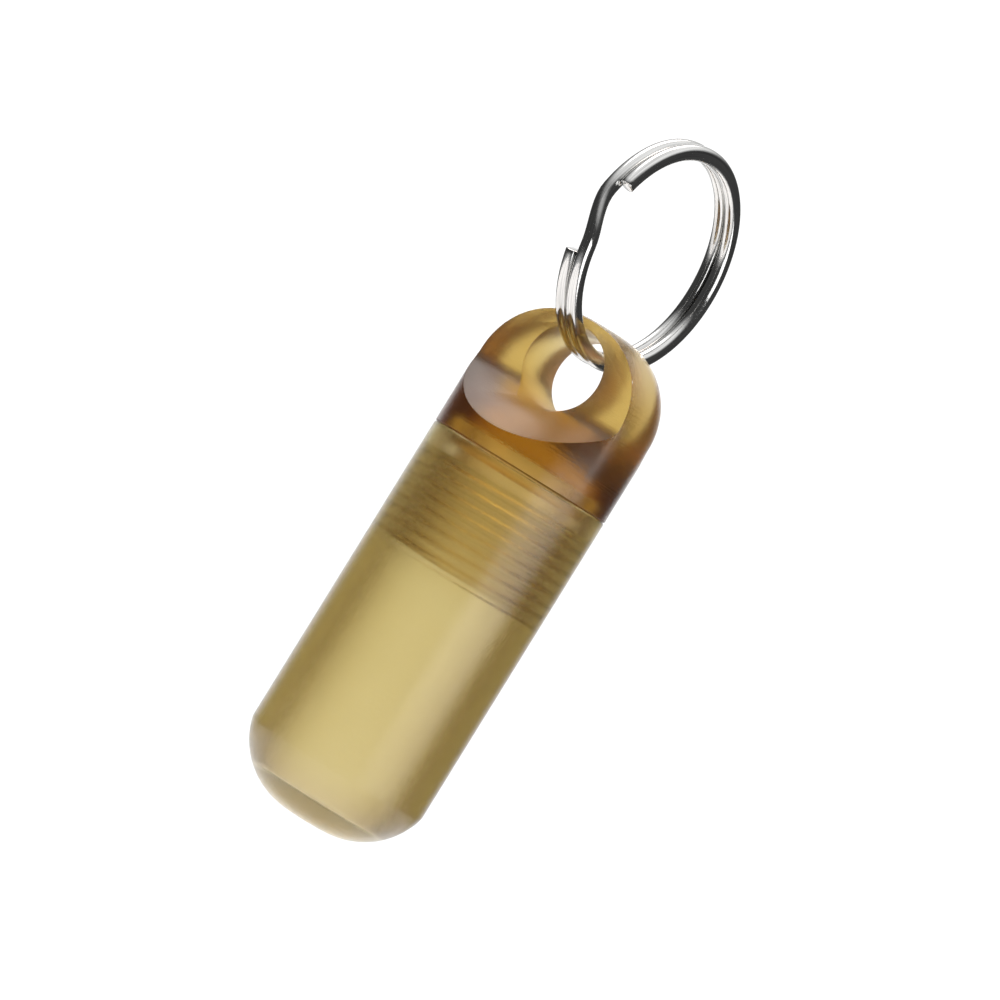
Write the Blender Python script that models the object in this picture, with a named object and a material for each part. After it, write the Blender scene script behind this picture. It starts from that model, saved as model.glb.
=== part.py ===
"""A small storage bottle for a key ring: a turned tube with a rounded base, closed by a screw cap
whose top is milled to a lug, with a seal ring on the cap's neck and a split ring through the lug.

Metres, +Z up. The origin is the centre of the flat on the bottle's base and Z is the common axis
of bottle, seal and cap. Y is the axis of the hole in the lug, from one milled flat to the other.
"""

from math import acos, cos, degrees, radians, sin, sqrt, tan

import bmesh
import bpy
from mathutils import Matrix, Vector

# Sizes that everything else follows
BODY_DIAMETER = 0.0127
TOUCH_GAP = 0.0003
EDGE_BREAK = 0.00012
CUT_OVERRUN = 0.002

# The bottle
BOTTLE_HEIGHT = 0.0260
BASE_FLAT_DIAMETER = 0.0026
BASE_CORNER_HEIGHT = 0.00396
STORE_WALL = 0.00195
STORE_FLOOR = 0.0018
STORE_FLOOR_ROUNDING = 0.0003
SOCKET_DEPTH = 0.0080

# The screw fit, plain here: both sides stand clear of the thread's middle, this far inside the body
THREAD_WALL = 0.00185

# The seal between the cap's neck and the seat that the bottle's lip leaves round it
SEAL_SECTION = 0.0008
SEAL_LIP = 0.0010
SEAL_SIDE_GAP = 0.0002
SEAL_SEAT_DEPTH = 0.0013

# The cap
CAP_HEIGHT = 0.01055
CAP_FLAT_DIAMETER = 0.0023
NECK_LENGTH = 0.0015
PLUG_CHAMFER = 0.0003
PLUG_WALL = 0.00078
CAP_BORE_ABOVE_FACE = 0.00075

# The lug on the cap
LUG_THICKNESS = 0.00459
LUG_FLAT_HEIGHT = 0.0058
LUG_FOOT_ANGLE = radians(51)
LUG_FOOT_ROUNDING = 0.0012
HOLE_DIAMETER = 0.0057
HOLE_BELOW_TOP = 0.0036
HOLE_FLARE_ANGLE = radians(20)
HOLE_FLARE_DEPTH = 0.00012

# The split ring: one wire in two coils, with a step across between its two cut ends
RING_DIAMETER = 0.0159
WIRE_DEPTH = 0.00106
WIRE_WIDTH = 0.0007
WIRE_ROUNDING = 0.00026
COIL_GAP = 0.00043
RING_SEAT_GAP = 0.00025
RING_LEAN = radians(-1.4)
RING_TWIST = radians(-4)
WIRE_START = radians(198)
COIL_ARC = radians(325)
STEP_ARC = radians(30)

# How finely round shapes are divided
TURN_STEPS = 64
BASE_STEPS = 8
FLOOR_STEPS = 6
DOME_STEPS = 12
FOOT_STEPS = 4
HOLE_STEPS = 48
SEAL_TURN_STEPS = 48
SEAL_SECTION_STEPS = 12
WIRE_CORNER_STEPS = 2
WIRE_STEP = radians(5)
SHARP_ANGLE = radians(16)
ROUND_SECTION_ANGLE = radians(60)
MERGE_SHARE = 0.01

# Sizes that follow from those above
BODY_RADIUS = BODY_DIAMETER / 2
CAP_FACE = BOTTLE_HEIGHT + TOUCH_GAP
CAP_TOP = CAP_FACE + CAP_HEIGHT
THREAD_RADIUS = BODY_RADIUS - THREAD_WALL
PLUG_RADIUS = THREAD_RADIUS - TOUCH_GAP / 2
SOCKET_RADIUS = THREAD_RADIUS + TOUCH_GAP / 2
SOCKET_END = BOTTLE_HEIGHT - SOCKET_DEPTH
PLUG_TIP = SOCKET_END + TOUCH_GAP
SEAL_SEAT_RADIUS = BODY_RADIUS - SEAL_LIP
SEAL_BORE_RADIUS = SEAL_SEAT_RADIUS - SEAL_SIDE_GAP - SEAL_SECTION
NECK_RADIUS = SEAL_BORE_RADIUS - SEAL_SIDE_GAP
SEAL_HEIGHT = CAP_FACE - SEAL_SIDE_GAP - SEAL_SECTION / 2
LUG_HALF = LUG_THICKNESS / 2
FLAT_END = CAP_TOP - LUG_FLAT_HEIGHT
HOLE_RADIUS = HOLE_DIAMETER / 2
HOLE_HEIGHT = CAP_TOP - HOLE_BELOW_TOP
COIL_OFFSET = (WIRE_WIDTH + COIL_GAP) / 2
COIL_MEAN_RADIUS = (RING_DIAMETER - WIRE_DEPTH) / 2
RING_HALF_WIDTH = COIL_OFFSET + WIRE_WIDTH / 2


def clear_scene():
    for thing in list(bpy.data.objects):
        bpy.data.objects.remove(thing)


def material(name, color, roughness, metallic=0.0, transmission=0.0):
    made = bpy.data.materials.new(name)
    made.use_nodes = True
    shader = made.node_tree.nodes["Principled BSDF"]
    shader.inputs["Base Color"].default_value = (*color, 1.0)
    shader.inputs["Roughness"].default_value = roughness
    shader.inputs["Metallic"].default_value = metallic
    shader.inputs["Transmission Weight"].default_value = transmission
    return made


def add_object(name, bm, finish, sharp=SHARP_ANGLE):
    """A smooth-shaded object from bm, with edges that turn by more than sharp left sharp."""
    bmesh.ops.remove_doubles(bm, verts=bm.verts, dist=EDGE_BREAK * MERGE_SHARE)
    bmesh.ops.recalc_face_normals(bm, faces=bm.faces)
    mesh = bpy.data.meshes.new(name)
    bm.to_mesh(mesh)
    bm.free()
    mesh.shade_smooth()
    mesh.set_sharp_from_angle(angle=sharp)
    thing = bpy.data.objects.new(name, mesh)
    bpy.context.scene.collection.objects.link(thing)
    if finish:
        mesh.materials.append(finish)
    return thing


def arc(center, radius, start, end, steps):
    """Points (r, z) on a circle from angle start to angle end, both in degrees."""
    turns = [radians(start + (end - start) * i / steps) for i in range(steps + 1)]
    return [(center[0] + radius * cos(t), center[1] + radius * sin(t)) for t in turns]


def turned(profile, steps=TURN_STEPS):
    """A bmesh made by turning the profile's (r, z) points once round the Z axis."""
    bm = bmesh.new()
    line = [bm.verts.new((r, 0, z)) for r, z in profile]
    edges = [bm.edges.new(pair) for pair in zip(line, line[1:])]
    bmesh.ops.spin(
        bm, geom=line + edges, cent=(0, 0, 0), axis=(0, 0, 1),
        angle=radians(360), steps=steps, use_merge=True,
    )
    return bm


def build_bottle(finish):
    flat = BASE_FLAT_DIAMETER / 2
    store = BODY_RADIUS - STORE_WALL
    # The base rounding leaves the flat smoothly and meets the straight side at a faint corner.
    room = BODY_RADIUS - flat
    rounding = (room ** 2 + BASE_CORNER_HEIGHT ** 2) / (2 * BASE_CORNER_HEIGHT)
    corner_angle = -degrees(acos(room / rounding))
    base = arc((flat, rounding), rounding, -90, corner_angle, BASE_STEPS)
    wall = [
        (BODY_RADIUS, BOTTLE_HEIGHT - EDGE_BREAK),
        (BODY_RADIUS - EDGE_BREAK, BOTTLE_HEIGHT),
        (SEAL_SEAT_RADIUS, BOTTLE_HEIGHT),
        (SEAL_SEAT_RADIUS, BOTTLE_HEIGHT - SEAL_SEAT_DEPTH),
        (SOCKET_RADIUS, BOTTLE_HEIGHT - SEAL_SEAT_DEPTH),
        (SOCKET_RADIUS, SOCKET_END),
        (store, SOCKET_END),
    ]
    floor_center = (store - STORE_FLOOR_ROUNDING, STORE_FLOOR + STORE_FLOOR_ROUNDING)
    floor = arc(floor_center, STORE_FLOOR_ROUNDING, 0, -90, FLOOR_STEPS)
    profile = [(0, 0)] + base + wall + floor + [(0, STORE_FLOOR)]
    return add_object("bottle", turned(profile), finish)


def flat_cutter(name, side):
    """A bar along X that mills one flat of the lug and the sloping foot below it."""
    outer = BODY_RADIUS + CUT_OVERRUN
    foot_drop = (outer - LUG_HALF) / tan(LUG_FOOT_ANGLE)
    outline = [
        (LUG_HALF, CAP_TOP + CUT_OVERRUN),
        (LUG_HALF, FLAT_END),
        (outer, FLAT_END - foot_drop),
        (outer, CAP_TOP + CUT_OVERRUN),
    ]
    bm = bmesh.new()
    corners = [bm.verts.new((-outer, side * y, z)) for y, z in outline]
    face = bm.faces.new(corners)
    pushed = bmesh.ops.extrude_face_region(bm, geom=[face])["geom"]
    moved = [item for item in pushed if isinstance(item, bmesh.types.BMVert)]
    bmesh.ops.translate(bm, verts=moved, vec=(2 * outer, 0, 0))
    foot = [
        edge for edge in bm.edges
        if all(abs(v.co.z - FLAT_END) < EDGE_BREAK for v in edge.verts)
    ]
    bmesh.ops.bevel(
        bm, geom=foot, offset=LUG_FOOT_ROUNDING, offset_type="WIDTH",
        segments=FOOT_STEPS, profile=0.5, affect="EDGES", material=-1,
    )
    return add_object(name, bm, None)


def hole_cutter():
    """A bar along Y for the split ring's hole: round, and flared from just inside each flat outwards.

    The flats hardly show the flare, but the lug's feet stand out past them and take more of it.
    """
    start = LUG_HALF - HOLE_FLARE_DEPTH
    end = BODY_RADIUS + CUT_OVERRUN
    mouth = HOLE_RADIUS + (end - start) * tan(HOLE_FLARE_ANGLE)
    profile = [(0, -end), (mouth, -end), (HOLE_RADIUS, -start), (HOLE_RADIUS, start), (mouth, end), (0, end)]
    bm = turned(profile, HOLE_STEPS)
    lie = Matrix.Translation((0, 0, HOLE_HEIGHT)) @ Matrix.Rotation(radians(90), 4, "X")
    bmesh.ops.transform(bm, matrix=lie, verts=bm.verts)
    return add_object("lug_hole_cutter", bm, None)


def cut(thing, tools):
    """Cuts each tool out of thing, removes the tool and marks the edges that the cuts leave as sharp."""
    for tool in tools:
        boolean = thing.modifiers.new(tool.name, "BOOLEAN")
        boolean.operation = "DIFFERENCE"
        boolean.solver = "EXACT"
        boolean.object = tool
    mesh = bpy.data.meshes.new_from_object(thing.evaluated_get(bpy.context.evaluated_depsgraph_get()))
    mesh.set_sharp_from_angle(angle=SHARP_ANGLE)
    thing.modifiers.clear()
    thing.data = mesh
    for tool in tools:
        bpy.data.objects.remove(tool)


def build_cap(finish):
    crown = BODY_RADIUS - CAP_FLAT_DIAMETER / 2
    bore = PLUG_RADIUS - PLUG_WALL
    bore_end = CAP_FACE + CAP_BORE_ABOVE_FACE
    neck_end = CAP_FACE - NECK_LENGTH
    dome = arc((BODY_RADIUS - crown, CAP_TOP - crown), crown, 90, 0, DOME_STEPS)
    rest = [
        (BODY_RADIUS, CAP_FACE + EDGE_BREAK),
        (BODY_RADIUS - EDGE_BREAK, CAP_FACE),
        (NECK_RADIUS, CAP_FACE),
        (NECK_RADIUS, neck_end),
        (PLUG_RADIUS, neck_end),
        (PLUG_RADIUS, PLUG_TIP + PLUG_CHAMFER),
        (PLUG_RADIUS - PLUG_CHAMFER, PLUG_TIP),
        (bore, PLUG_TIP),
        (bore, bore_end),
        (0, bore_end),
    ]
    cap = add_object("cap", turned([(0, CAP_TOP)] + dome + rest), finish)
    cut(cap, [flat_cutter("lug_near_cutter", -1), flat_cutter("lug_far_cutter", 1), hole_cutter()])
    return cap


def build_seal(finish):
    """The seal ring, round in section, on the cap's neck just under the cap's face."""
    radius = SEAL_SECTION / 2
    center = (SEAL_BORE_RADIUS + radius, SEAL_HEIGHT)
    section = arc(center, radius, 0, 360, SEAL_SECTION_STEPS)
    return add_object("seal_ring", turned(section, SEAL_TURN_STEPS), finish, ROUND_SECTION_ANGLE)


def wire_section(bm):
    """The points and edges of the wire's flattened section, at the start of the far coil."""
    start = Matrix.Rotation(WIRE_START, 4, "X") @ Matrix.Translation(
        (-COIL_OFFSET, COIL_MEAN_RADIUS, 0)
    )
    half_width = WIRE_WIDTH / 2 - WIRE_ROUNDING
    half_depth = WIRE_DEPTH / 2 - WIRE_ROUNDING
    corners = ((1, 1, 0), (-1, 1, 90), (-1, -1, 180), (1, -1, 270))
    points = []
    for across, out, first in corners:
        center = (across * half_width, out * half_depth)
        points += arc(center, WIRE_ROUNDING, first, first + 90, WIRE_CORNER_STEPS)
    ring = [bm.verts.new(start @ Vector((x, y, 0))) for x, y in points]
    return ring + [bm.edges.new(pair) for pair in zip(ring, ring[1:] + ring[:1])]


def wind(bm, stations, arc_length, shift):
    """Carries the wire on round X by arc_length, and by shift along X in a smooth S."""
    steps = round(arc_length / WIRE_STEP)
    shifted = 0.0
    for step in range(1, steps + 1):
        share = step / steps
        across = shift * share * share * (3 - 2 * share)
        made = bmesh.ops.spin(
            bm, geom=stations[-1], cent=(0, 0, 0), axis=(1, 0, 0),
            angle=arc_length / steps, steps=1, dvec=(across - shifted, 0, 0),
        )
        stations.append(made["geom_last"])
        shifted = across


def least_coil_gap(stations):
    """The least distance between points of the wire that lie half a turn or more apart along it."""
    half_turn = round(radians(180) / WIRE_STEP)
    points = [[v.co for v in part if isinstance(v, bmesh.types.BMVert)] for part in stations]
    return min(
        (a - b).length
        for i, first in enumerate(points) for second in points[i + half_turn:]
        for a in first for b in second
    )


def build_ring(finish):
    """The split ring about its own centre: far coil, step across, near coil."""
    bm = bmesh.new()
    stations = [wire_section(bm)]
    wind(bm, stations, COIL_ARC, 0)
    wind(bm, stations, STEP_ARC, 2 * COIL_OFFSET)
    wind(bm, stations, COIL_ARC, 0)
    gap = least_coil_gap(stations)
    print(f"split ring: least gap between its coils {gap * 1000:.3f} mm")
    bmesh.ops.holes_fill(bm, edges=bm.edges)
    return add_object("split_ring", bm, finish, ROUND_SECTION_ANGLE)


def hang_ring(ring):
    """Places the ring in the lug's hole, on an empty at the hole's axis that leans as the ring does."""
    hole_edge = sqrt(HOLE_RADIUS ** 2 - RING_HALF_WIDTH ** 2)
    inner_radius = RING_DIAMETER / 2 - WIRE_DEPTH
    rise = sqrt(inner_radius ** 2 - LUG_HALF ** 2)
    pivot = bpy.data.objects.new("swing_pivot", None)
    bpy.context.scene.collection.objects.link(pivot)
    pivot.location = (0, 0, HOLE_HEIGHT)
    pivot.rotation_euler = (0, RING_LEAN, 0)
    ring.parent = pivot
    ring.location = (0, 0, hole_edge - RING_SEAT_GAP + rise)
    ring.rotation_euler = (0, 0, RING_TWIST)


def main():
    clear_scene()
    amber = material("amber_plastic", (0.62, 0.36, 0.09), 0.3, transmission=0.8)
    rubber = material("seal_rubber", (0.75, 0.66, 0.45), 0.45)
    steel = material("ring_steel", (0.62, 0.62, 0.63), 0.18, metallic=1.0)
    build_bottle(amber)
    build_cap(amber)
    build_seal(rubber)
    hang_ring(build_ring(steel))


main()
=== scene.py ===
"""Dresses the key-ring storage bottle: an amber plastic tube and screw cap with a real thread
between them, the seal ring in their joint, and the split ring of polished steel wire.

Laid out as a Blender add-on and run as a script. Metres, in the part's own frame: +Z up the common
axis of tube and cap, Y along the hole in the cap's lug, origin on the flat of the tube's base.
"""

from math import acos, cos, degrees, inf, pi, radians, sin, sqrt, tan

import bmesh
import bpy
from bpy.props import FloatProperty, FloatVectorProperty, IntProperty, PointerProperty
from bpy.types import Operator, Panel, PropertyGroup
from mathutils import Matrix, Vector


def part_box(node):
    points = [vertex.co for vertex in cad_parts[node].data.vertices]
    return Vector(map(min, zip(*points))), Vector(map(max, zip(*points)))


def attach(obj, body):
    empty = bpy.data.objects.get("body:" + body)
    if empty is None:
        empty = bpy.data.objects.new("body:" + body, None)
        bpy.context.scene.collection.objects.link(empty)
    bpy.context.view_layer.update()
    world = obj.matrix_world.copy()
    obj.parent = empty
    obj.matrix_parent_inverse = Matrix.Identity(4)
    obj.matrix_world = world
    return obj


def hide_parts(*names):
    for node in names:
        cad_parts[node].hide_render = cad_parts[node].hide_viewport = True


bl_info = {
    "name": "Key-ring storage bottle",
    "version": (1, 0, 0),
    "blender": (4, 5, 0),
    "location": "3D View > Sidebar > Storage bottle",
    "description": "Builds the pieces and the stage of a small storage bottle",
    "category": "Object",
}

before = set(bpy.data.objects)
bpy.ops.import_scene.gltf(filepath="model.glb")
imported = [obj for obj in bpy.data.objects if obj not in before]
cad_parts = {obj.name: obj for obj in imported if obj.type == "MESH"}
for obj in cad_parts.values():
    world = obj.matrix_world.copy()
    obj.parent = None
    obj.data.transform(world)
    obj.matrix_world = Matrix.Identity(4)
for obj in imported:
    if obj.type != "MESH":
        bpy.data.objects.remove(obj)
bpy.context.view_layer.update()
BOTTLE_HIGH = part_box("bottle")[1]
CAP_LOW, CAP_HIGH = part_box("cap")
SEAL_LOW, SEAL_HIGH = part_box("seal_ring")

# The underside of the cap's crown in the solids, and the middle of their gap, where the seam goes
CAD_CAP_FACE = 0.0263
SEAM_HEIGHT = (BOTTLE_HIGH.z + CAD_CAP_FACE) / 2

# Distances in metres within which two points are one, two heights are level, and two sizes match
SAME_POINT = 1e-7
SAME_LEVEL = 1e-6
SAME_SIZE = 1e-5

# Faces on round shapes: the outside's two arcs, the two small roundings, the lug's hole, the floor
BASE_STEPS = 40
DOME_STEPS = 48
STORE_STEPS = 10
FOOT_STEPS = 12
HOLE_STEPS = 144
FLOOR_SIDES = 96

# How far the cutters reach past the cap
CUTTER_REACH = 0.002

# The width in the camera that its focal length is stated for, in millimetres
SENSOR_WIDTH = 36

# Where the studio's parts start and end, as how far a ray rises (the sine of its angle to level)
# or how far it heads towards an azimuth (the cosine of the angle between)
BAND_FULL = 0.38
BACK_END, SIDES_START = -0.5, -0.15
CEILING_RISE = (0.7, 0.85)
CEILING_HEADING = (0.3, 0.5)

# The azimuth of the light in the ceiling, from the camera's
CEILING_SIDE = radians(-140)


def length(name, description, default, **more):
    """A length in metres, shown in the user's own unit."""
    return FloatProperty(
        name=name, description=description, default=default, unit="LENGTH", subtype="DISTANCE",
        precision=5, **more,
    )


def tilt(name, description, default):
    """An angle, held in radians."""
    return FloatProperty(
        name=name, description=description, default=default, unit="ROTATION", subtype="ANGLE",
    )


def amount(name, description, default, **more):
    """A plain number."""
    return FloatProperty(name=name, description=description, default=default, **more)


def share(name, description, default):
    """A number from 0 to 1."""
    return FloatProperty(
        name=name, description=description, default=default, min=0, max=1, subtype="FACTOR",
    )


def count(name, description, default):
    """A number of steps."""
    return IntProperty(name=name, description=description, default=default, min=3)


def tint(name, description, default):
    """A colour."""
    return FloatVectorProperty(
        name=name, description=description, default=default, size=3, min=0, max=1, subtype="COLOR",
    )


class TubeSizes(PropertyGroup):
    """Sizes of the bottle's tube."""

    radius: length("Radius", "Outside radius of the tube and of the cap", BOTTLE_HIGH.x)
    base_flat: length("Base flat", "Radius of the flat under the base", 0.0013)
    base_corner: length("Base corner", "Height where the base's rounding meets the side", 0.00396)
    edge: length("Edge break", "Size of the small bevel on turned edges", 0.00009)
    seam: length("Seam", "Width of the seam between tube and cap", 0.00002)
    # Painted shade: how far in from the outside the seam's dark tint reaches on the lips
    seam_shade_depth: length("Grime depth", "How far dust has got into the seam", 0.00025)
    store_radius: length("Store radius", "Radius of the bore that holds the stored things", 0.0044)
    store_floor: length("Store floor", "Height of the bore's floor above the base", 0.0018)
    floor_rounding: length("Floor rounding", "Rounding at the edge of the bore's floor", 0.0004)
    socket_low: length("Socket end", "Height at which the threaded socket ends", 0.0180)
    seat_radius: length("Seat radius", "Radius of the seat round the seal", 0.00495)
    seat_depth: length("Seat depth", "Depth of the seat below the tube's lip", 0.0013)
    steps: count("Turn steps", "Faces round a full turn", 144)


class ThreadSizes(PropertyGroup):
    """Sizes of the screw thread."""

    pitch: length("Pitch", "Rise of the thread in one turn", 0.00079375)
    crest: length("Crest radius", "Radius of the cap thread's crests", 0.00465)
    depth: length("Depth", "Depth of the thread from crest to root", 0.00006)
    land: length("Crest flat", "Width of the flat on a crest", 0.00025)
    flank: tilt("Flank angle", "Angle of a flank from the plane across the axis", radians(58))
    play: length("Play", "Radial play between cap and tube", 0.000065)
    rounding: length("Rounding", "Rounding of crests and roots", 0.000052)
    phase: tilt("Phase", "Angle at which the thread starts", radians(20))


class CapSizes(PropertyGroup):
    """Sizes of the screw cap and its lug."""

    top_flat: length("Top flat", "Radius of the flat on top of the lug", 0.00115)
    neck_radius: length("Neck radius", "Radius of the smooth neck that the seal sits on", 0.00415)
    neck_length: length("Neck length", "Length of the smooth neck", 0.0015)
    plug_chamfer: length("Plug chamfer", "Chamfer at the tip of the plug", 0.00045)
    bore_radius: length("Bore radius", "Radius of the bore in the plug", 0.00357)
    bore_end: length("Bore end", "Height of the end of the plug's bore", CAP_LOW.z + 0.00875)
    lug_half: length("Half lug", "Half the thickness of the lug", 0.002295)
    flat_height: length("Flat height", "Height of the lug's flats below the top", 0.0058)
    foot_angle: tilt("Foot angle", "Angle of the lug's sloping feet from the axis", radians(51))
    foot_rounding: length("Foot rounding", "Width of the rounding above each foot", 0.0012)
    hole_radius: length("Hole radius", "Radius of the hole for the split ring", 0.00285)
    hole_drop: length("Hole drop", "Depth of the hole's axis below the top", 0.0036)
    flare_angle: tilt("Flare angle", "Angle of the hole's flared mouths", radians(20))
    flare_depth: length("Flare depth", "How far inside the flats the flare starts", 0.00012)
    edge: length("Milled edge break", "Size of the small bevel on milled edges", 0.00007)


class SealSizes(PropertyGroup):
    """Sizes of the seal ring."""

    section: length("Section", "Thickness of the seal's round section", 0.0006)
    play: length("Play", "Play between the seal and its seat", 0.0001)
    steps: count("Section steps", "Faces round the seal's section", 24)


class RingSizes(PropertyGroup):
    """Sizes of the split ring."""

    radius: length("Radius", "Outside radius of the split ring", 0.00795)
    wire_depth: length("Wire depth", "Size of the wire along the ring's radius", 0.00106)
    wire_width: length("Wire width", "Size of the wire along the ring's axis", 0.00087)
    wire_rounding: length("Wire rounding", "Rounding of the wire's corners", 0.00038)
    coil_gap: length("Coil gap", "Gap between the two coils", 0.00005)
    seat_gap: length("Seat gap", "Gap between the wire and the top of the hole", 0.00025)
    lean: tilt("Lean", "Lean of the ring from the axis", radians(-1.4))
    twist: tilt("Twist", "Turn of the ring about its upright", radians(-4))
    start: tilt("Start", "Angle of the wire's first end", radians(198))
    coil: tilt("Coil", "Angle that each coil spans", radians(325))
    step: tilt("Step", "Angle of the step between the coils", radians(30))
    station: tilt("Station", "Angle from one section of the wire to the next", radians(2.5))
    corner_steps: count("Corner steps", "Faces round a corner of the wire", 5)
    end_bevel: length("End bevel", "Bevel on the wire's two cut ends", 0.00006)


class PlasticLook(PropertyGroup):
    """Finish of the amber plastic."""

    clear: share("Clear", "Share of light that a surface lets pass; the rest is haze", 0.992)
    surface: tint("Surface", "Tint that a surface gives to light passing it", (1.0, 0.99, 0.97))
    body: tint("Body", "Colour of the tube's plastic in depth", (0.957, 0.9385, 0.84))
    cap_body: tint("Cap body", "Colour of the cap's plastic in depth", (0.9545, 0.921, 0.80))
    density: amount("Density", "Absorption of the plastic for each metre", 2200.0, min=0)
    index: amount("Index", "Refractive index", 1.52, min=1)
    turned: share("Turned roughness", "Roughness of the turned outside", 0.2)
    milled: share("Milled roughness", "Roughness of the lug's milled surfaces", 0.42)
    bored: share("Bored roughness", "Roughness of the bores", 0.5)
    socket: share("Socket roughness", "Roughness of the tube's thread", 0.5)
    threaded: share("Plug roughness", "Roughness of the cap's thread and neck", 0.22)
    # Painted shade: dark brown base colour on the faces at the seam, so the seam shows as a dark
    # line
    seam_shade: tint("Shade", "Tint that dust in the seam gives to light", (0.2, 0.12, 0.08))


class SteelLook(PropertyGroup):
    """Finish of the split ring's steel."""

    color: tint("Colour", "Colour of the steel", (0.68, 0.68, 0.67))
    streak: share("Streak", "Brightness of the dark streaks beside the rest", 0.7)
    roughness: share("Roughness", "Roughness of the drawn wire", 0.12)


class SealLook(PropertyGroup):
    """Finish of the seal ring."""

    color: tint("Colour", "Colour of the seal", (0.98, 0.84, 0.52))
    index: amount("Index", "Refractive index of the seal", 1.41, min=1)
    roughness: share("Roughness", "Roughness of the seal", 0.35)


class StageLook(PropertyGroup):
    """Floor, light and camera."""

    floor_drop: length("Floor drop", "Distance from the base down to the floor", 0.022)
    floor_size: length("Floor size", "Half the width of the floor", 0.09)
    floor_color: tint("Floor colour", "Colour of the floor", (0.9, 0.9, 0.9))
    floor_roughness: share("Floor roughness", "Roughness of the floor", 0.6)
    floor_glow: amount("Floor glow", "Light that the floor itself gives off", 0.35, min=0)
    dark: share("Dark", "Brightness of the studio's dark band as steel mirrors it", 0.05)
    dark_through: share("Dark through", "Brightness of its back seen through the plastic", 0.12)
    side_through: share("Side through", "Brightness of its sides seen through the plastic", 0.5)
    white_angle: tilt("White angle", "Angle from straight behind where it starts", radians(12))
    dark_angle: tilt("Dark angle", "Angle from straight behind where it is full", radians(43))
    dark_height: tilt("Dark height", "Angle above and below level where it ends", radians(55))
    dark_side: tilt("Dark side", "Angle of its middle to the right of the camera", radians(6))
    warm: tint("Warmth", "Tint of the dark band seen through the plastic", (1.0, 0.55, 0.28))
    ceiling: amount("Ceiling", "Brightness of the light in the ceiling", 8.0, min=0)
    ceiling_warmth: share("Ceiling warmth", "How much of that tint this light has", 0.3)
    softbox: amount("Softbox", "Brightness of the soft light at the front right", 2.3, min=0)
    softbox_side: tilt("Softbox side", "Its angle to the right of the camera", radians(55))
    softbox_distance: length("Softbox distance", "Distance of that light from the axis", 0.3)
    softbox_width: length("Softbox width", "Width of that light", 0.30)
    softbox_low: length("Softbox bottom", "Height of that light's lower edge", -0.09)
    softbox_high: length("Softbox top", "Height of that light's upper edge", 0.07)
    light: amount("Light", "Strength of the white surroundings", 1.17, min=0)
    azimuth: tilt("Azimuth", "Direction of the camera round the object", radians(30.1))
    roll: tilt("Roll", "Roll of the camera", radians(31.7))
    distance: length("Distance", "Distance of the camera from the axis", 0.415)
    aim_height: length("Aim height", "Height that the camera looks at", 0.02395)
    aim_aside: length("Aim aside", "How far to the right of the axis it looks", -0.00012)
    view_width: length("View width", "Width of the picture at the object", 0.06398)


def arc(center, radius, start, end, steps):
    """Points (r, z) on a circle from angle start to angle end, both in degrees."""
    turns = [radians(start + (end - start) * i / steps) for i in range(steps + 1)]
    return [(center[0] + radius * cos(t), center[1] + radius * sin(t)) for t in turns]


def turn(bm, profile, steps):
    """Turns the profile's (r, z) points once round the Z axis into bm."""
    line = [bm.verts.new((r, 0, z)) for r, z in profile]
    edges = [bm.edges.new(pair) for pair in zip(line, line[1:])]
    bmesh.ops.spin(
        bm, geom=line + edges, cent=(0, 0, 0), axis=(0, 0, 1),
        angle=radians(360), steps=steps, use_merge=True,
    )


def only_verts(geometry):
    """The vertices among an operator's geometry."""
    return [item for item in geometry if isinstance(item, bmesh.types.BMVert)]


def rim(bm, height, near, far):
    """The open edges at a height that lie between two radii from the axis."""
    found = []
    for edge in bm.edges:
        if not edge.is_boundary:
            continue
        if any(abs(v.co.z - height) > SAME_LEVEL for v in edge.verts):
            continue
        if all(near < v.co.xy.length < far for v in edge.verts):
            found.append(edge)
    return found


def close_flat(bm, height, middle):
    """Fills the flat between two open rims at one height, either side of a radius."""
    edges = rim(bm, height, 0, middle) + rim(bm, height, middle, inf)
    bmesh.ops.triangle_fill(bm, edges=edges, use_beauty=True, normal=(0, 0, 1))


def wind_thread(bm, low, high, offset, thread, steps):
    """A screw thread round Z between two heights, its radius greater than the cap's by offset."""
    root = thread.crest - thread.depth + offset
    crest = thread.crest + offset
    run = thread.depth * tan(thread.flank)
    valley = (thread.pitch - thread.land - 2 * run) / 2
    outline = [
        (root, 0),
        (root, valley),
        (crest, valley + run),
        (crest, valley + run + thread.land),
        (root, valley + 2 * run + thread.land),
        (root, thread.pitch),
    ]
    # Wound on past both heights, and cut off level there at the end
    turns = int((high - low) / thread.pitch) + 3
    start = low - 1.5 * thread.pitch
    line = [bm.verts.new((r, 0, start + z)) for r, z in outline]
    edges = [bm.edges.new(pair) for pair in zip(line, line[1:])]
    rounded = bmesh.ops.bevel(
        bm, geom=line[1:-1], offset=thread.rounding, offset_type="OFFSET",
        segments=2, profile=0.5, affect="VERTICES", material=-1,
    )
    made = set(line) | set(rounded["verts"])
    shape = [v for v in made if v.is_valid]
    shape += {edge for v in shape for edge in v.link_edges}
    begin = Matrix.Rotation(thread.phase, 4, "Z")
    bmesh.ops.transform(bm, matrix=begin, verts=only_verts(shape))
    bmesh.ops.spin(
        bm, geom=shape, cent=(0, 0, 0), axis=(0, 0, 1), angle=radians(360),
        steps=steps, dvec=(0, 0, thread.pitch / steps),
    )
    one_turn = bm.verts[:] + bm.edges[:] + bm.faces[:]
    for number in range(1, turns):
        copied = bmesh.ops.duplicate(bm, geom=one_turn)["geom"]
        bmesh.ops.translate(bm, verts=only_verts(copied), vec=(0, 0, number * thread.pitch))
    bmesh.ops.remove_doubles(bm, verts=bm.verts, dist=SAME_POINT)
    for height, outwards in ((low, -1), (high, 1)):
        bmesh.ops.bisect_plane(
            bm, geom=bm.verts[:] + bm.edges[:] + bm.faces[:], dist=SAME_POINT,
            plane_co=(0, 0, height), plane_no=(0, 0, outwards), clear_outer=True,
        )


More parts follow.
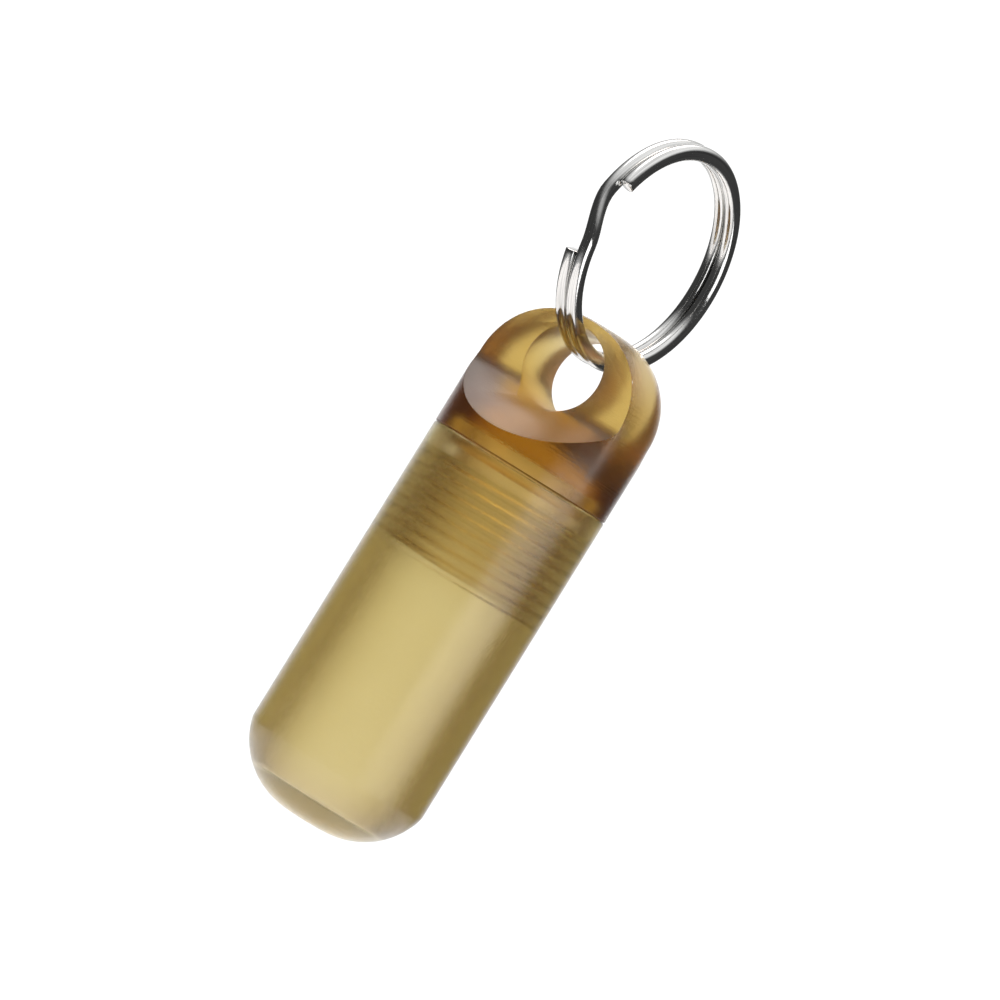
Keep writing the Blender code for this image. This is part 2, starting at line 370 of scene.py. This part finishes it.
def hold_within(bm, limit):
    """Moves points in to the radius that limit(height) gives, where they lie beyond it."""
    for vert in bm.verts:
        radius = vert.co.xy.length
        wanted = min(radius, limit(vert.co.z))
        if wanted != radius:
            vert.co.x *= wanted / radius
            vert.co.y *= wanted / radius


def mark_faces(bm, name, rule):
    """Gives each face, under a name, the number that rule(middle, normal) finds."""
    layer = bm.faces.layers.float.new(name)
    for face in bm.faces:
        face[layer] = rule(face.calc_center_median(), face.normal)


def piece(name, bm, finish, body, node, sharp=radians(25)):
    """The finished object of bm, which rides on a body and stands for a node."""
    bmesh.ops.recalc_face_normals(bm, faces=bm.faces)
    mesh = bpy.data.meshes.new(name)
    bm.to_mesh(mesh)
    bm.free()
    mesh.materials.append(finish)
    mesh.shade_smooth()
    mesh.set_sharp_from_angle(angle=sharp)
    thing = bpy.data.objects.new(name, mesh)
    bpy.context.scene.collection.objects.link(thing)
    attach(thing, body)
    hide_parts(node)
    return thing


def socket(tree, kind, name, way, default=None):
    """A new socket of a node group."""
    made = tree.interface.new_socket(name=name, in_out=way, socket_type=kind)
    if default is not None:
        made.default_value = default
    return made


def joined(tree, *links):
    """Links pairs of sockets."""
    for start, end in links:
        tree.links.new(start, end)


def feed(tree, place, value):
    """Gives an input a number, or links a socket to it."""
    if isinstance(value, (int, float)):
        place.default_value = value
    else:
        tree.links.new(value, place)


def math_node(tree, operation, *values):
    """A Math node fed with sockets or numbers, and its output."""
    node = tree.nodes.new("ShaderNodeMath")
    node.operation = operation
    for place, value in zip(node.inputs, values):
        feed(tree, place, value)
    return node.outputs[0]


def blended(tree, share_of_second, first, second):
    """A Mix node's output between two sockets or numbers."""
    node = tree.nodes.new("ShaderNodeMix")
    node.data_type = "FLOAT"
    feed(tree, node.inputs["Factor"], share_of_second)
    feed(tree, node.inputs["A"], first)
    feed(tree, node.inputs["B"], second)
    return node.outputs["Result"]


def tinted(tree, share_of_second, first, second):
    """A Mix node's output between two colours."""
    node = tree.nodes.new("ShaderNodeMix")
    node.data_type = "RGBA"
    node.inputs["A"].default_value = (*first, 1.0)
    node.inputs["B"].default_value = (*second, 1.0)
    tree.links.new(share_of_second, node.inputs["Factor"])
    return node.outputs["Result"]


def ranged(tree, value, low, high, start=0.0, end=1.0):
    """A Map Range node's output: value from start..end brought to low..high."""
    node = tree.nodes.new("ShaderNodeMapRange")
    node.inputs["From Min"].default_value = start
    node.inputs["From Max"].default_value = end
    node.inputs["To Min"].default_value = low
    node.inputs["To Max"].default_value = high
    tree.links.new(value, node.inputs["Value"])
    return node.outputs["Result"]


def smooth_range(tree, value, start, end):
    """0 at start and 1 at end, with smooth ends."""
    node = tree.nodes.new("ShaderNodeMapRange")
    node.interpolation_type = "SMOOTHSTEP"
    node.inputs["From Min"].default_value = start
    node.inputs["From Max"].default_value = end
    tree.links.new(value, node.inputs["Value"])
    return node.outputs["Result"]


def fine_marks_group():
    """Node group: streaks drawn out along one way of a point's place, and a fine speckle."""
    name = "Fine marks"
    if name in bpy.data.node_groups:
        return bpy.data.node_groups[name]
    tree = bpy.data.node_groups.new(name, "ShaderNodeTree")
    socket(tree, "NodeSocketVector", "Place", "INPUT")
    socket(tree, "NodeSocketVector", "Fineness", "INPUT", (1000.0, 1000.0, 1000.0))
    socket(tree, "NodeSocketFloat", "Speckle", "INPUT", 4000.0)
    socket(tree, "NodeSocketFloat", "Streaks", "OUTPUT")
    socket(tree, "NodeSocketFloat", "Grain", "OUTPUT")
    inside = tree.nodes.new("NodeGroupInput").outputs
    outside = tree.nodes.new("NodeGroupOutput").inputs
    scaled = tree.nodes.new("ShaderNodeVectorMath")
    scaled.operation = "MULTIPLY"
    streaks = tree.nodes.new("ShaderNodeTexNoise")
    streaks.inputs["Scale"].default_value = 1.0
    streaks.inputs["Detail"].default_value = 3.0
    streaks.inputs["Roughness"].default_value = 0.6
    grain = tree.nodes.new("ShaderNodeTexNoise")
    grain.inputs["Detail"].default_value = 2.0
    joined(
        tree,
        (inside["Place"], scaled.inputs[0]),
        (inside["Fineness"], scaled.inputs[1]),
        (scaled.outputs[0], streaks.inputs["Vector"]),
        (inside["Place"], grain.inputs["Vector"]),
        (inside["Speckle"], grain.inputs["Scale"]),
        (streaks.outputs["Fac"], outside["Streaks"]),
        (grain.outputs["Fac"], outside["Grain"]),
    )
    return tree


def new_material(name):
    """A material with its Principled shader, and its tree."""
    made = bpy.data.materials.new(name)
    made.use_nodes = True
    return made, made.node_tree, made.node_tree.nodes["Principled BSDF"]


def marks(tree, place, fineness, speckle):
    """The Fine marks group placed in a material."""
    node = tree.nodes.new("ShaderNodeGroup")
    node.node_tree = fine_marks_group()
    node.inputs["Fineness"].default_value = fineness
    node.inputs["Speckle"].default_value = speckle
    tree.links.new(place, node.inputs["Place"])
    return node.outputs


def varied(tree, noise, middle, below, above):
    """A value near middle that follows a noise, which mostly stays in 0.3..0.7."""
    return ranged(tree, noise, middle - below, middle + above, start=0.3, end=0.7)


def bumped(tree, shader, height, distance, strength):
    """Feeds a height to the shader's normal through a Bump node."""
    node = tree.nodes.new("ShaderNodeBump")
    node.inputs["Distance"].default_value = distance
    node.inputs["Strength"].default_value = strength
    joined(tree, (height, node.inputs["Height"]), (node.outputs["Normal"], shader.inputs["Normal"]))


def amber_plastic(name, look, body):
    """See-through amber plastic with fine turning lines, as rough as each tool has left it, with
    painted shade in the seam.
    """
    made, tree, shader = new_material(name)
    coords = tree.nodes.new("ShaderNodeTexCoord")
    tool = tree.nodes.new("ShaderNodeAttribute")
    tool.attribute_name = "tool_finish"
    turned = marks(tree, coords.outputs["Object"], fineness=(260.0, 260.0, 9000.0), speckle=9000.0)
    spread = varied(tree, turned["Grain"], 0, below=0.04, above=0.04)
    roughness = math_node(tree, "ADD", tool.outputs["Fac"], spread)
    # Painted shade: faces marked at the seam take the dark tint as their base colour
    shade = tree.nodes.new("ShaderNodeAttribute")
    shade.attribute_name = "seam_shade_mask"
    surface = tinted(tree, shade.outputs["Fac"], look.surface, look.seam_shade)
    joined(tree, (surface, shader.inputs["Base Color"]), (roughness, shader.inputs["Roughness"]))
    shader.inputs["IOR"].default_value = look.index
    shader.inputs["Transmission Weight"].default_value = look.clear
    height = math_node(tree, "ADD", turned["Streaks"], turned["Grain"])
    bumped(tree, shader, height, distance=0.00002, strength=0.7)
    dye = tree.nodes.new("ShaderNodeVolumeAbsorption")
    dye.inputs["Color"].default_value = (*body, 1.0)
    dye.inputs["Density"].default_value = look.density
    output = next(node for node in tree.nodes if node.type == "OUTPUT_MATERIAL")
    tree.links.new(dye.outputs["Volume"], output.inputs["Volume"])
    return made


def seal_rubber(look):
    """Pale amber silicone with a faint bloom."""
    made, tree, shader = new_material("seal_rubber")
    coords = tree.nodes.new("ShaderNodeTexCoord")
    bloom = marks(tree, coords.outputs["Object"], fineness=(900.0, 900.0, 900.0), speckle=3000.0)
    shader.inputs["Base Color"].default_value = (*look.color, 1.0)
    shader.inputs["IOR"].default_value = look.index
    shader.inputs["Transmission Weight"].default_value = 1.0
    roughness = varied(tree, bloom["Streaks"], look.roughness, below=0.06, above=0.06)
    tree.links.new(roughness, shader.inputs["Roughness"])
    bumped(tree, shader, bloom["Grain"], distance=0.000006, strength=0.4)
    return made


def ring_steel(look):
    """Polished drawn steel wire: streaks along the wire, and a fine speckle."""
    made, tree, shader = new_material("ring_steel")
    place = tree.nodes.new("ShaderNodeAttribute")
    place.attribute_name = "wire_place"
    drawn = marks(tree, place.outputs["Vector"], fineness=(11000.0, 11000.0, 220.0), speckle=7000.0)
    shader.inputs["Metallic"].default_value = 1.0
    streaked = ranged(tree, drawn["Streaks"], 0, 1, start=0.35, end=0.55)
    tone = tinted(tree, streaked, [part * look.streak for part in look.color], look.color)
    roughness = varied(tree, drawn["Grain"], look.roughness, below=0.05, above=0.07)
    joined(tree, (tone, shader.inputs["Base Color"]), (roughness, shader.inputs["Roughness"]))
    speckle = math_node(tree, "MULTIPLY", drawn["Grain"], 0.5)
    height = math_node(tree, "ADD", drawn["Streaks"], speckle)
    bumped(tree, shader, height, distance=0.000006, strength=0.5)
    return made


class BOTTLE_OT_tube(Operator):
    """Build the tube: rounded base, store, threaded socket and the seal's seat"""

    bl_idname = "storage_bottle.tube"
    bl_label = "Tube"

    def execute(self, context):
        sizes = context.scene.bottle_tube
        thread = context.scene.bottle_thread
        lip = SEAM_HEIGHT - sizes.seam / 2
        seat = BOTTLE_HIGH.z - sizes.seat_depth
        bm = bmesh.new()
        wind_thread(bm, sizes.socket_low, seat, thread.play, thread, sizes.steps)
        room = sizes.radius - sizes.base_flat
        rounding = (room ** 2 + sizes.base_corner ** 2) / (2 * sizes.base_corner)
        corner = -degrees(acos(room / rounding))
        base = arc((sizes.base_flat, rounding), rounding, corner, -90, BASE_STEPS)
        turn(bm, [
            (sizes.seat_radius, seat),
            (sizes.seat_radius, lip - sizes.edge),
            (sizes.seat_radius + sizes.edge, lip),
            # From here out to the edge bevel, the lip carries the seam's painted shade
            (sizes.radius - sizes.seam_shade_depth, lip),
            (sizes.radius - sizes.edge, lip),
            (sizes.radius, lip - sizes.edge),
            *base,
            (0, 0),
        ], sizes.steps)
        low = (sizes.store_radius - sizes.floor_rounding, sizes.store_floor + sizes.floor_rounding)
        turn(bm, [
            (sizes.store_radius, sizes.socket_low),
            *arc(low, sizes.floor_rounding, 0, -90, STORE_STEPS),
            (0, sizes.store_floor),
        ], sizes.steps)
        bmesh.ops.remove_doubles(bm, verts=bm.verts, dist=SAME_POINT)
        close_flat(bm, seat, sizes.seat_radius - SAME_SIZE)
        close_flat(bm, sizes.socket_low, sizes.store_radius + SAME_SIZE)
        bmesh.ops.recalc_face_normals(bm, faces=bm.faces)
        look = context.scene.bottle_plastic

        def roughness(at, normal):
            faces_down = normal.z < -0.1
            if at.xy.length > sizes.seat_radius + SAME_SIZE or faces_down:
                return look.turned
            if at.z > seat - SAME_SIZE:
                return look.threaded
            return look.socket if at.z > sizes.socket_low else look.bored

        # Painted shade: marks the outer ring of the tube's lip for the dark seam tint
        def seam_shade(at, normal):
            reach = sizes.radius - sizes.seam_shade_depth
            return float(at.z > lip - SAME_SIZE and at.xy.length > reach)

        mark_faces(bm, "tool_finish", roughness)
        mark_faces(bm, "seam_shade_mask", seam_shade)
        finish = amber_plastic("amber_tube", look, look.body)
        piece("bottle_tube", bm, finish, "bottle", "bottle")
        return {"FINISHED"}


def lug_cutter(side, tube, cap):
    """A bar along X that mills one flat of the lug and the sloping foot below it."""
    outer = tube.radius + CUTTER_REACH
    above = CAP_HIGH.z + CUTTER_REACH
    foot = CAP_HIGH.z - cap.flat_height
    bm = bmesh.new()
    outline = [
        (cap.lug_half, above),
        (cap.lug_half, foot),
        (outer, foot - (outer - cap.lug_half) / tan(cap.foot_angle)),
        (outer, above),
    ]
    face = bm.faces.new([bm.verts.new((-outer, side * y, z)) for y, z in outline])
    pushed = bmesh.ops.extrude_face_region(bm, geom=[face])["geom"]
    bmesh.ops.translate(bm, verts=only_verts(pushed), vec=(2 * outer, 0, 0))
    corner = [
        edge for edge in bm.edges if all(abs(v.co.z - foot) < SAME_SIZE for v in edge.verts)
    ]
    bmesh.ops.bevel(
        bm, geom=corner, offset=cap.foot_rounding, offset_type="WIDTH",
        segments=FOOT_STEPS, profile=0.5, affect="EDGES", material=-1,
    )
    return cutter("lug_cutter", bm)


def hole_cutter(tube, cap):
    """A round bar along Y, flared from just inside each flat outwards."""
    start = cap.lug_half - cap.flare_depth
    end = tube.radius + CUTTER_REACH
    mouth = cap.hole_radius + (end - start) * tan(cap.flare_angle)
    bm = bmesh.new()
    turn(bm, [
        (0, -end),
        (mouth, -end),
        (cap.hole_radius, -start),
        (cap.hole_radius, start),
        (mouth, end),
        (0, end),
    ], HOLE_STEPS)
    height = CAP_HIGH.z - cap.hole_drop
    lie = Matrix.Translation((0, 0, height)) @ Matrix.Rotation(radians(90), 4, "X")
    bmesh.ops.transform(bm, matrix=lie, verts=bm.verts)
    return cutter("hole_cutter", bm)


def cutter(name, bm):
    """A passing object that a cut is made with."""
    bmesh.ops.remove_doubles(bm, verts=bm.verts, dist=SAME_POINT)
    bmesh.ops.recalc_face_normals(bm, faces=bm.faces)
    mesh = bpy.data.meshes.new(name)
    bm.to_mesh(mesh)
    bm.free()
    thing = bpy.data.objects.new(name, mesh)
    bpy.context.scene.collection.objects.link(thing)
    return thing


def cut(bm, tools):
    """Cuts each tool out of bm, removes the tool, and gives back the cut bmesh."""
    stock = cutter("stock", bm)
    for tool in tools:
        boolean = stock.modifiers.new(tool.name, "BOOLEAN")
        boolean.operation = "DIFFERENCE"
        boolean.solver = "EXACT"
        boolean.object = tool
    shaped = stock.evaluated_get(bpy.context.evaluated_depsgraph_get())
    mesh = bpy.data.meshes.new_from_object(shaped)
    made = bmesh.new()
    made.from_mesh(mesh)
    for thing in [stock, *tools]:
        bpy.data.objects.remove(thing)
    bpy.data.meshes.remove(mesh)
    return made


# Which of the cap's edges are milled ones: those with at least this angle, this far above its face
MILLED_ANGLE = radians(28)
MILLED_ABOVE = 0.0001

# The width below which a face that the cuts leave counts for nothing
SLIVER = 0.00002


class BOTTLE_OT_cap(Operator):
    """Build the screw cap: domed top milled to a lug, cross hole, neck and threaded plug"""

    bl_idname = "storage_bottle.cap"
    bl_label = "Cap"

    def execute(self, context):
        tube = context.scene.bottle_tube
        thread = context.scene.bottle_thread
        cap = context.scene.bottle_cap
        face = SEAM_HEIGHT + tube.seam / 2
        neck_low = CAD_CAP_FACE - cap.neck_length
        tip = CAP_LOW.z
        bm = bmesh.new()
        wind_thread(bm, tip, neck_low, 0.0, thread, tube.steps)
        root = thread.crest - thread.depth
        hold_within(bm, lambda z: max(root, thread.crest - cap.plug_chamfer + z - tip))
        crown = tube.radius - cap.top_flat
        turn(bm, [
            (0, CAP_HIGH.z),
            *arc((tube.radius - crown, CAP_HIGH.z - crown), crown, 90, 0, DOME_STEPS),
            (tube.radius, face + tube.edge),
            (tube.radius - tube.edge, face),
            # From here out to the edge bevel, the cap's face carries the seam's painted shade
            (tube.radius - tube.seam_shade_depth, face),
            (cap.neck_radius + tube.edge, face),
            (cap.neck_radius, face - tube.edge),
            (cap.neck_radius, neck_low),
        ], tube.steps)
        turn(bm, [
            (cap.bore_radius, tip),
            (cap.bore_radius, cap.bore_end),
            (0, cap.bore_end),
        ], tube.steps)
        bmesh.ops.remove_doubles(bm, verts=bm.verts, dist=SAME_POINT)
        close_flat(bm, neck_low, cap.neck_radius + SAME_SIZE)
        close_flat(bm, tip, cap.bore_radius + SAME_SIZE)
        bm = cut(bm, [lug_cutter(-1, tube, cap), lug_cutter(1, tube, cap), hole_cutter(tube, cap)])
        bmesh.ops.dissolve_degenerate(bm, dist=SLIVER, edges=bm.edges)
        milled = [
            edge for edge in bm.edges
            if edge.calc_face_angle(0) > MILLED_ANGLE
            and all(v.co.z > face + MILLED_ABOVE for v in edge.verts)
        ]
        bmesh.ops.bevel(
            bm, geom=milled, offset=cap.edge, offset_type="OFFSET",
            segments=2, profile=0.5, affect="EDGES", material=-1,
        )
        look = context.scene.bottle_plastic

        def roughness(at, normal):
            out = at.xy.length
            if at.z < cap.bore_end - SAME_SIZE and out < cap.bore_radius + SAME_SIZE:
                return look.bored
            if at.z < cap.bore_end + SAME_SIZE and out < tube.radius - 2 * tube.edge:
                return look.threaded
            rise = max(at.z - (CAP_HIGH.z - crown), 0)
            outside = cap.top_flat + sqrt(max(crown ** 2 - rise ** 2, 0))
            return look.milled if out < outside - SLIVER else look.turned

        # Painted shade: marks the outer ring of the cap's face and its edge bevel for the dark seam
        # tint
        def seam_shade(at, normal):
            reach = tube.radius - tube.seam_shade_depth
            return float(at.z < face + tube.edge and at.xy.length > reach)

        mark_faces(bm, "tool_finish", roughness)
        mark_faces(bm, "seam_shade_mask", seam_shade)
        finish = amber_plastic("amber_cap", look, look.cap_body)
        piece("screw_cap", bm, finish, "cap", "cap")
        return {"FINISHED"}


class BOTTLE_OT_seal(Operator):
    """Build the seal ring round the cap's neck"""

    bl_idname = "storage_bottle.seal"
    bl_label = "Seal ring"

    def execute(self, context):
        sizes = context.scene.bottle_seal
        radius = sizes.section / 2
        seat = context.scene.bottle_tube.seat_radius
        center = (seat - sizes.play - radius, (SEAL_HIGH.z + SEAL_LOW.z) / 2)
        bm = bmesh.new()
        turn(bm, arc(center, radius, 0, 360, sizes.steps), context.scene.bottle_tube.steps)
        bmesh.ops.remove_doubles(bm, verts=bm.verts, dist=SAME_POINT)
        look = context.scene.bottle_seal_look
        piece("o_ring", bm, seal_rubber(look), "seal", "seal_ring", radians(60))
        return {"FINISHED"}


class BOTTLE_OT_ring(Operator):
    """Build the split ring: one flattened wire in two coils, with a step between its cut ends"""

    bl_idname = "storage_bottle.ring"
    bl_label = "Split ring"

    def execute(self, context):
        sizes = context.scene.bottle_ring
        cap = context.scene.bottle_cap
        offset = (sizes.wire_width + sizes.coil_gap) / 2
        mean = sizes.radius - sizes.wire_depth / 2
        bm = bmesh.new()
        place = bm.verts.layers.float_vector.new("wire_place")
        begin = Matrix.Rotation(sizes.start, 4, "X") @ Matrix.Translation((-offset, mean, 0))
        half_width = sizes.wire_width / 2 - sizes.wire_rounding
        half_depth = sizes.wire_depth / 2 - sizes.wire_rounding
        points = []
        for across, out, first in ((1, 1, 0), (-1, 1, 90), (-1, -1, 180), (1, -1, 270)):
            center = (across * half_width, out * half_depth)
            points += arc(center, sizes.wire_rounding, first, first + 90, sizes.corner_steps)
        section = [bm.verts.new(begin @ Vector((x, y, 0))) for x, y in points]
        section += [bm.edges.new(pair) for pair in zip(section, section[1:] + section[:1])]
        stations = [section]
        middles = [(-offset, 0.0)]
        for span, shift in ((sizes.coil, 0), (sizes.step, 2 * offset), (sizes.coil, 0)):
            steps = round(span / sizes.station)
            started = middles[-1][0]
            for step in range(1, steps + 1):
                part = step / steps
                eased = part * part * (3 - 2 * part)
                across = started + shift * eased
                made = bmesh.ops.spin(
                    bm, geom=stations[-1], cent=(0, 0, 0), axis=(1, 0, 0),
                    angle=span / steps, steps=1, dvec=(across - middles[-1][0], 0, 0),
                )
                stations.append(made["geom_last"])
                middles.append((across, middles[-1][1] + mean * span / steps))
        for station, (across, along) in zip(stations, middles):
            for vert in only_verts(station):
                out = vert.co.yz.length - mean
                vert[place] = (vert.co.x - across, out, along)
        bmesh.ops.holes_fill(bm, edges=bm.edges)
        # The two cut ends are the only faces with more than four corners
        ends = [edge for face in bm.faces if len(face.verts) > 4 for edge in face.edges]
        bmesh.ops.bevel(
            bm, geom=ends, offset=sizes.end_bevel, offset_type="OFFSET",
            segments=3, profile=0.5, affect="EDGES", material=-1,
        )
        hole_top = sqrt(cap.hole_radius ** 2 - (offset + sizes.wire_width / 2) ** 2)
        inner = sizes.radius - sizes.wire_depth
        rise = sqrt(inner ** 2 - cap.lug_half ** 2)
        hang = (
            Matrix.Translation((0, 0, CAP_HIGH.z - cap.hole_drop))
            @ Matrix.Rotation(sizes.lean, 4, "Y")
            @ Matrix.Translation((0, 0, hole_top - sizes.seat_gap + rise))
            @ Matrix.Rotation(sizes.twist, 4, "Z")
        )
        bmesh.ops.transform(bm, matrix=hang, verts=bm.verts)
        look = context.scene.bottle_steel
        piece("wire_ring", bm, ring_steel(look), "ring", "split_ring", radians(50))
        return {"FINISHED"}


def toward(tree, ray, azimuth):
    """How far a ray heads towards an azimuth: 1 straight at it, -1 straight away."""
    dot = tree.nodes.new("ShaderNodeVectorMath")
    dot.operation = "DOT_PRODUCT"
    dot.inputs[1].default_value = (sin(azimuth), -cos(azimuth), 0)
    tree.links.new(ray, dot.inputs[0])
    return dot.outputs["Value"]


def dark_band(tree, look, forward, rise):
    """Where the studio is dark: all round at the camera's height, except straight behind."""
    level = math_node(tree, "ABSOLUTE", rise)
    low = smooth_range(tree, level, sin(look.dark_height), BAND_FULL)
    aside = smooth_range(tree, forward, -cos(look.white_angle), -cos(look.dark_angle))
    return math_node(tree, "MULTIPLY", aside, low)


def ceiling_light(tree, look, ray, rise):
    """Where the bright light in the ceiling is."""
    high = smooth_range(tree, rise, *CEILING_RISE)
    heading = toward(tree, ray, look.azimuth + CEILING_SIDE)
    return math_node(tree, "MULTIPLY", high, smooth_range(tree, heading, *CEILING_HEADING))


def studio_world(look):
    """White surroundings with a dark band at the sides and the front, and a light in the ceiling.

    The camera itself sees plain white. What polished faces mirror, and what shows through the
    plastic, takes in the dark band, as in a studio tent that is lit from behind and above.
    """
    world = bpy.data.worlds.new("studio")
    bpy.context.scene.world = world
    world.use_nodes = True
    tree = world.node_tree
    tree.nodes.clear()
    ray = tree.nodes.new("ShaderNodeTexCoord").outputs["Generated"]
    apart = tree.nodes.new("ShaderNodeSeparateXYZ")
    tree.links.new(ray, apart.inputs[0])
    rise = apart.outputs["Z"]
    path = tree.nodes.new("ShaderNodeLightPath").outputs
    forward = toward(tree, ray, look.azimuth + look.dark_side)
    band = dark_band(tree, look, forward, rise)
    spot = ceiling_light(tree, look, ray, rise)
    sides = smooth_range(tree, forward, BACK_END, SIDES_START)
    through = blended(tree, sides, look.dark_through, look.side_through)
    dark = blended(tree, path["Is Transmission Ray"], look.dark, through)
    lit = blended(tree, spot, blended(tree, band, 1.0, dark), look.ceiling)
    plain = blended(tree, path["Is Camera Ray"], lit, 1.0)
    warmed = math_node(tree, "MULTIPLY", band, path["Is Transmission Ray"])
    warmth = blended(tree, spot, warmed, look.ceiling_warmth)
    shine = tree.nodes.new("ShaderNodeBackground")
    output = tree.nodes.new("ShaderNodeOutputWorld")
    joined(
        tree,
        (tinted(tree, warmth, (1, 1, 1), look.warm), shine.inputs["Color"]),
        (math_node(tree, "MULTIPLY", plain, look.light), shine.inputs["Strength"]),
        (shine.outputs[0], output.inputs["Surface"]),
    )


class BOTTLE_OT_stage(Operator):
    """Build the floor, the light and the camera"""

    bl_idname = "storage_bottle.stage"
    bl_label = "Stage"

    def execute(self, context):
        look = context.scene.bottle_stage
        context.scene.view_settings.view_transform = "Standard"
        studio_world(look)
        bm = bmesh.new()
        bmesh.ops.create_circle(bm, cap_ends=True, radius=look.floor_size, segments=FLOOR_SIDES)
        bmesh.ops.translate(bm, verts=bm.verts, vec=(0, 0, -look.floor_drop))
        mesh = bpy.data.meshes.new("floor")
        bm.to_mesh(mesh)
        bm.free()
        floor = bpy.data.objects.new("floor", mesh)
        context.scene.collection.objects.link(floor)
        finish, _, shader = new_material("floor_white")
        shader.inputs["Base Color"].default_value = (*look.floor_color, 1.0)
        shader.inputs["Roughness"].default_value = look.floor_roughness
        shader.inputs["Emission Color"].default_value = (1, 1, 1, 1)
        shader.inputs["Emission Strength"].default_value = look.floor_glow
        mesh.materials.append(finish)
        self.add_softbox(context, look)
        self.add_camera(context, look)
        return {"FINISHED"}

    def add_softbox(self, context, look):
        """One soft light at the front right, facing the axis."""
        side = look.azimuth + look.softbox_side
        back = Vector((sin(side), -cos(side), 0))
        right = Vector((cos(side), sin(side), 0))
        tall = look.softbox_high - look.softbox_low
        lamp = bpy.data.lights.new("softbox", "AREA")
        lamp.shape = "RECTANGLE"
        lamp.size = look.softbox_width
        lamp.size_y = tall
        # The brightness of an area light is its energy shared over pi times its area
        lamp.energy = look.softbox * pi * look.softbox_width * tall
        light = bpy.data.objects.new("softbox", lamp)
        middle = Vector((0, 0, (look.softbox_high + look.softbox_low) / 2))
        axes = Matrix((right, Vector((0, 0, 1)), back)).transposed().to_4x4()
        light.matrix_world = Matrix.Translation(middle + back * look.softbox_distance) @ axes
        light.visible_camera = False
        context.scene.collection.objects.link(light)

    def add_camera(self, context, look):
        """The camera at the photograph's place, level with the object and rolled."""
        back = Vector((sin(look.azimuth), -cos(look.azimuth), 0))
        right = Vector((cos(look.azimuth), sin(look.azimuth), 0))
        up = Vector((0, 0, 1))
        across = sin(look.roll) * up + cos(look.roll) * right
        upright = cos(look.roll) * up - sin(look.roll) * right
        aim = Vector((0, 0, look.aim_height)) + right * look.aim_aside
        lens = bpy.data.cameras.new("camera")
        lens.sensor_width = SENSOR_WIDTH
        lens.lens = SENSOR_WIDTH * look.distance / look.view_width
        lens.clip_start = 0.01
        lens.clip_end = 10
        camera = bpy.data.objects.new("camera", lens)
        axes = Matrix((across, upright, back)).transposed().to_4x4()
        camera.matrix_world = Matrix.Translation(aim + back * look.distance) @ axes
        context.scene.collection.objects.link(camera)
        context.scene.camera = camera


class BOTTLE_PT_panel(Panel):
    """The pieces of the storage bottle"""

    bl_idname = "BOTTLE_PT_panel"
    bl_label = "Storage bottle"
    bl_space_type = "VIEW_3D"
    bl_region_type = "UI"
    bl_category = "Storage bottle"

    def draw(self, context):
        for operator in OPERATORS:
            self.layout.operator(operator.bl_idname)


SETTINGS = {
    "bottle_tube": TubeSizes,
    "bottle_thread": ThreadSizes,
    "bottle_cap": CapSizes,
    "bottle_seal": SealSizes,
    "bottle_ring": RingSizes,
    "bottle_plastic": PlasticLook,
    "bottle_seal_look": SealLook,
    "bottle_steel": SteelLook,
    "bottle_stage": StageLook,
}
OPERATORS = (BOTTLE_OT_tube, BOTTLE_OT_cap, BOTTLE_OT_seal, BOTTLE_OT_ring, BOTTLE_OT_stage)


def register():
    """Registers the settings, the operators and the panel."""
    for kind in (*SETTINGS.values(), *OPERATORS, BOTTLE_PT_panel):
        bpy.utils.register_class(kind)
    for name, kind in SETTINGS.items():
        setattr(bpy.types.Scene, name, PointerProperty(type=kind))


def unregister():
    """Takes them out again."""
    for name in SETTINGS:
        delattr(bpy.types.Scene, name)
    for kind in (BOTTLE_PT_panel, *reversed(OPERATORS), *reversed(SETTINGS.values())):
        bpy.utils.unregister_class(kind)


def main():
    """Builds every piece and the stage."""
    register()
    bpy.ops.storage_bottle.tube()
    bpy.ops.storage_bottle.cap()
    bpy.ops.storage_bottle.seal()
    bpy.ops.storage_bottle.ring()
    bpy.ops.storage_bottle.stage()


if __name__ == "__main__":
    main()
